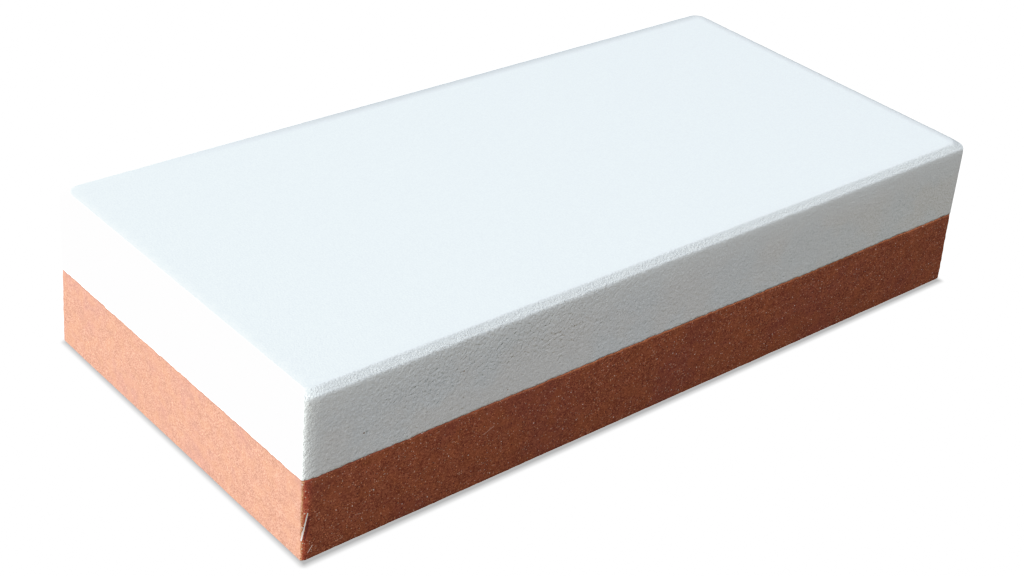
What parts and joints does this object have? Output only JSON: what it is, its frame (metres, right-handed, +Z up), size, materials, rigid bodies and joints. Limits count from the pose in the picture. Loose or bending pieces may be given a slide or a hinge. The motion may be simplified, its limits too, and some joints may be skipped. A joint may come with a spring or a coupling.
{
  "type": "sharpening whetstone",
  "caption": "Rectangular combination sharpening stone: a white fine-grit layer bonded flat on an orange-brown coarse-grit layer, with bevelled working faces.",
  "frame": {"origin": "middle of the coarse working face, which the stone rests on", "axes": "+X along the length, +Y across the width, +Z up from the coarse face to the fine face"},
  "size_m": [0.125, 0.06, 0.025],
  "materials": {
    "fine_abrasive": "matte",
    "bond": "matte",
    "coarse_abrasive": "matte"
  },
  "bodies": {
    "root": {"fine_layer": "fine_abrasive", "bond_line": "bond", "coarse_layer": "coarse_abrasive"}
  },
  "joints": []
}
